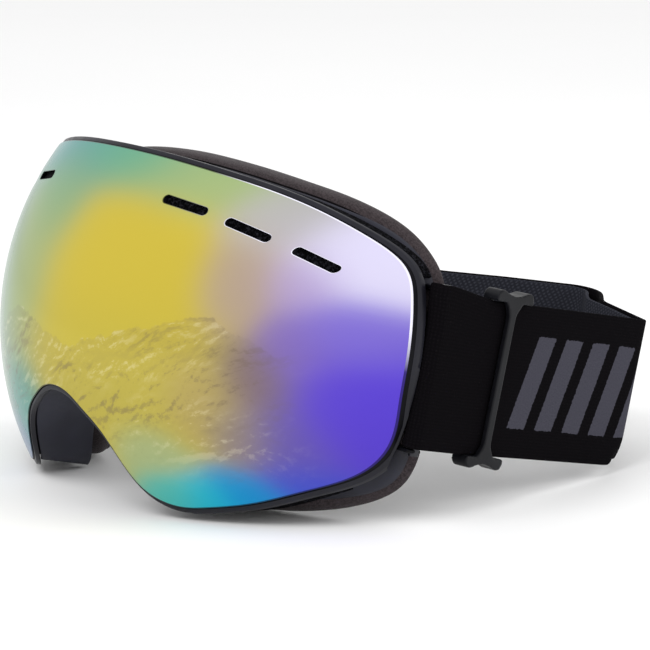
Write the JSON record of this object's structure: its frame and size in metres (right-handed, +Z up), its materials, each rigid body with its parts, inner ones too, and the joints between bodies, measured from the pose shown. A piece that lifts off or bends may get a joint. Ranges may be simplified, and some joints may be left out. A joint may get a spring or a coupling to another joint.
{
  "type": "frameless sports goggles",
  "caption": "Frameless goggles with a spherical mirrored double lens, vented soft frame, layered face foam and a wide elastic strap with sliding adjusters.",
  "frame": {"origin": "middle of the bounding box, on the surface the goggles rest on", "axes": "+Z up, -Y the way the lens faces (leaned back 14.3 degrees at rest), +X the wearer's left"},
  "size_m": [0.184, 0.193, 0.1073],
  "materials": {
    "lens_mirror": "mirror coating in violet, gold, teal and blue",
    "lens_clear": "clear sheet",
    "foam_black": "open-cell foam",
    "frame_plastic": "soft satin moulding",
    "slider_plastic": "satin moulding",
    "pin_steel": "drawn",
    "foam_brown": "soft foam",
    "fleece": "velour",
    "webbing": "fine knit with a grey pattern",
    "lining": "grey knit"
  },
  "bodies": {
    "frame": {"frame_shell": "frame_plastic", "nose_bridge": "frame_plastic", "top_vent_foam": "foam_black", "lower_vent_foam_left": "foam_black", "lower_vent_foam_right": "foam_black", "strap_pin_left": "pin_steel", "strap_pin_right": "pin_steel", "face_foam_base": "foam_brown", "face_foam_soft": "foam_brown", "face_fleece": "fleece", "strap_end_left": "webbing", "strap_end_right": "webbing"},
    "lens_unit": {"outer_lens": "lens_mirror", "inner_lens": "lens_clear", "lens_gasket": "foam_black", "lens_vent_foam_left": "foam_black", "lens_vent_foam_right": "foam_black", "lens_carrier": "frame_plastic"},
    "strap": {"strap_webbing": "webbing", "strap_lining": "lining"},
    "left_adjuster": {"slider_left": "slider_plastic"},
    "right_adjuster": {"slider_right": "slider_plastic"}
  },
  "joints": [
    {"name": "lens_release", "type": "slide", "parent": "frame", "child": "lens_unit", "axis": [0, -0.969, 0.247], "range_m": [0, 0.014]},
    {"name": "strap_swing", "type": "hinge", "parent": "frame", "child": "strap", "pos_m": [0, -0.02465, 0.04651], "axis": [1, 0, 0], "range_deg": [-12, 28], "deforming": ["strap_end_left", "strap_end_right"]},
    {"name": "left_adjust", "type": "slide", "parent": "strap", "child": "left_adjuster", "axis": [-0.1544, 0.9624, -0.2236], "range_m": [0, 0.045]},
    {"name": "right_adjust", "type": "slide", "parent": "strap", "child": "right_adjuster", "axis": [0.7108, 0.6875, -0.1485], "range_m": [-0.004, 0.045]}
  ]
}
